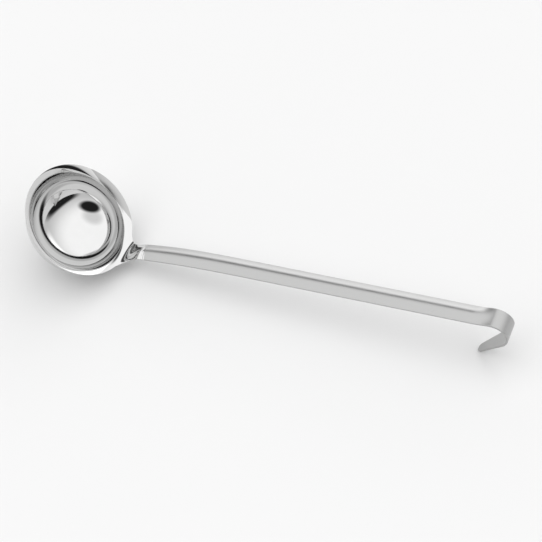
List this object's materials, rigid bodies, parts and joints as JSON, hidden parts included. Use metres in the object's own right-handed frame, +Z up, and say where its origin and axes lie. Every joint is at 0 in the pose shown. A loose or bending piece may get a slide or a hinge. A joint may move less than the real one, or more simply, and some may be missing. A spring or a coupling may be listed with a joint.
{
  "type": "soup ladle",
  "caption": "Steel soup ladle: drawn round bowl with a flared pouring lip, and a long ribbed strip handle whose end is bent back into a hanging hook.",
  "frame": {"origin": "centre of the footprint on the table, with the ladle lying on the bottom of its bowl and on the tip of its hook", "axes": "+Z up, +X from the bowl along the handle to the hook, Y across the handle; the part is symmetric about the XZ plane"},
  "size_m": [0.3818, 0.09, 0.0681],
  "materials": {
    "polished_steel": "mirror-polished stainless steel",
    "ground_steel": "ground and blended weld seam",
    "satin_steel": "fine satin stainless steel"
  },
  "bodies": {
    "root": {"bowl": "polished_steel", "neck_weld": "ground_steel", "handle": "satin_steel"}
  },
  "joints": []
}
